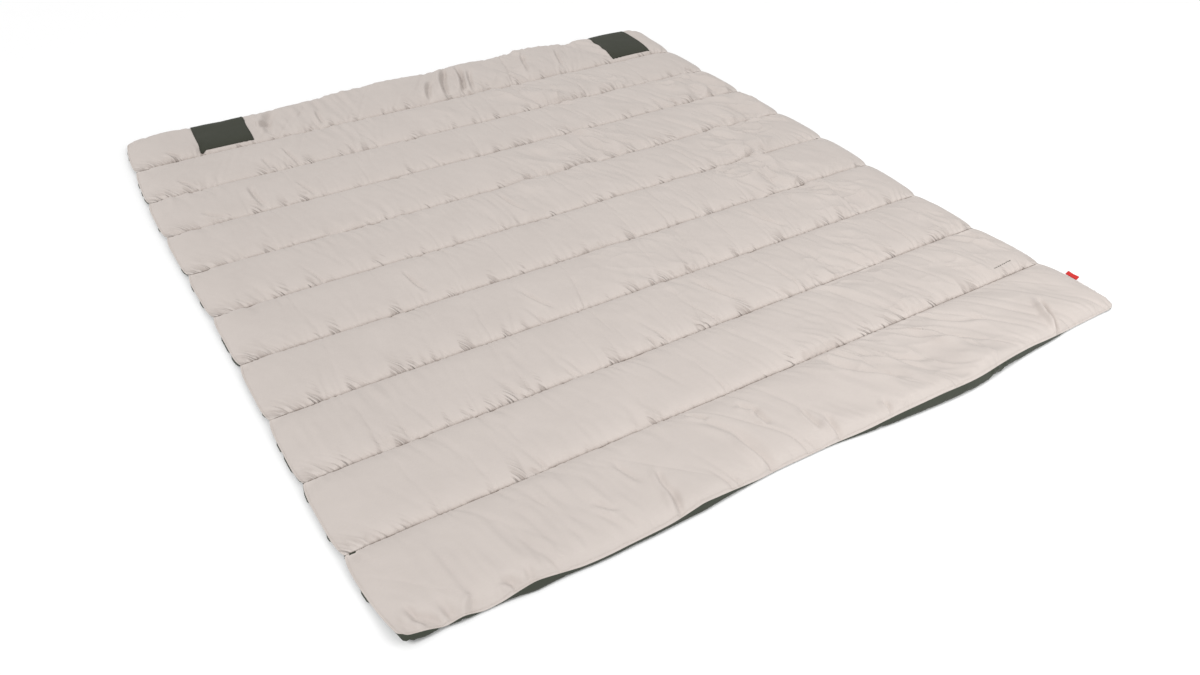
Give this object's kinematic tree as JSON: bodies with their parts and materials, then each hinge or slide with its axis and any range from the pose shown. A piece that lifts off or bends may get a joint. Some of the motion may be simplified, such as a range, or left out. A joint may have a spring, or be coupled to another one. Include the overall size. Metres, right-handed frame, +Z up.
{
  "type": "camp quilt",
  "caption": "Flat rectangular camp quilt of filled channels sewn side by side, with a plain cover, a lining, two head patches and a side tag.",
  "frame": {"origin": "middle of the underside, on the surface that the quilt lies on", "axes": "+X along the seams towards the tag's side, +Y from the foot edge to the head edge, +Z up"},
  "size_m": [2, 2.1985, 0.0471],
  "materials": {
    "shell_cloth": "matte",
    "lining_cloth": "matte",
    "wadding": "matte",
    "shell_thread": "matte",
    "patch_cloth": "matte",
    "patch_thread": "matte",
    "tag_tape": "matte"
  },
  "bodies": {
    "channel_05": {"top_cover_05": "shell_cloth", "filling_05": "wadding", "lining_05": "lining_cloth", "side_seam_thread_05": "shell_thread", "quilting_thread_04": "shell_thread", "quilting_thread_05": "shell_thread"},
    "channel_04": {"top_cover_04": "shell_cloth", "filling_04": "wadding", "lining_04": "lining_cloth", "side_seam_thread_04": "shell_thread", "quilting_thread_03": "shell_thread"},
    "channel_03": {"top_cover_03": "shell_cloth", "filling_03": "wadding", "lining_03": "lining_cloth", "side_seam_thread_03": "shell_thread", "quilting_thread_02": "shell_thread"},
    "channel_02": {"top_cover_02": "shell_cloth", "filling_02": "wadding", "lining_02": "lining_cloth", "side_seam_thread_02": "shell_thread", "quilting_thread_01": "shell_thread"},
    "channel_01": {"top_cover_01": "shell_cloth", "filling_01": "wadding", "lining_01": "lining_cloth", "side_seam_thread_01": "shell_thread", "head_edge_thread": "shell_thread", "head_patch_left": "patch_cloth", "head_patch_left_thread": "patch_thread", "head_patch_right": "patch_cloth", "head_patch_right_thread": "patch_thread"},
    "channel_06": {"top_cover_06": "shell_cloth", "filling_06": "wadding", "lining_06": "lining_cloth", "side_seam_thread_06": "shell_thread", "quilting_thread_06": "shell_thread"},
    "channel_07": {"top_cover_07": "shell_cloth", "filling_07": "wadding", "lining_07": "lining_cloth", "side_seam_thread_07": "shell_thread", "quilting_thread_07": "shell_thread"},
    "channel_08": {"top_cover_08": "shell_cloth", "filling_08": "wadding", "lining_08": "lining_cloth", "side_seam_thread_08": "shell_thread", "quilting_thread_08": "shell_thread"},
    "channel_09": {"top_cover_09": "shell_cloth", "filling_09": "wadding", "lining_09": "lining_cloth", "side_seam_thread_09": "shell_thread", "quilting_thread_09": "shell_thread"},
    "channel_10": {"top_cover_10": "shell_cloth", "filling_10": "wadding", "lining_10": "lining_cloth", "side_seam_thread_10": "shell_thread", "foot_edge_thread": "shell_thread"},
    "tag": {"side_tag": "tag_tape"}
  },
  "joints": [
    {"name": "fold_01", "type": "hinge", "parent": "channel_02", "child": "channel_01", "pos_m": [0, 0.88, 0.014], "axis": [1, 0, 0], "range_deg": [-90, 90]},
    {"name": "fold_02", "type": "hinge", "parent": "channel_03", "child": "channel_02", "pos_m": [0, 0.66, 0.014], "axis": [-1, 0, 0], "range_deg": [-90, 90]},
    {"name": "fold_03", "type": "hinge", "parent": "channel_04", "child": "channel_03", "pos_m": [0, 0.44, 0.014], "axis": [1, 0, 0], "range_deg": [-90, 90]},
    {"name": "fold_04", "type": "hinge", "parent": "channel_05", "child": "channel_04", "pos_m": [0, 0.22, 0.014], "axis": [-1, 0, 0], "range_deg": [-90, 90]},
    {"name": "fold_05", "type": "hinge", "parent": "channel_05", "child": "channel_06", "pos_m": [0, 0, 0.014], "axis": [-1, 0, 0], "range_deg": [-90, 90]},
    {"name": "fold_06", "type": "hinge", "parent": "channel_06", "child": "channel_07", "pos_m": [0, -0.22, 0.014], "axis": [1, 0, 0], "range_deg": [-90, 90]},
    {"name": "fold_07", "type": "hinge", "parent": "channel_07", "child": "channel_08", "pos_m": [0, -0.44, 0.014], "axis": [-1, 0, 0], "range_deg": [-90, 90]},
    {"name": "fold_08", "type": "hinge", "parent": "channel_08", "child": "channel_09", "pos_m": [0, -0.66, 0.014], "axis": [1, 0, 0], "range_deg": [-90, 90]},
    {"name": "fold_09", "type": "hinge", "parent": "channel_09", "child": "channel_10", "pos_m": [0, -0.88, 0.014], "axis": [-1, 0, 0], "range_deg": [-90, 90]},
    {"name": "tag_swing", "type": "hinge", "parent": "channel_10", "child": "tag", "pos_m": [0.989, -0.969, 0.014], "axis": [0, -1, 0], "range_deg": [-60, 60]}
  ]
}
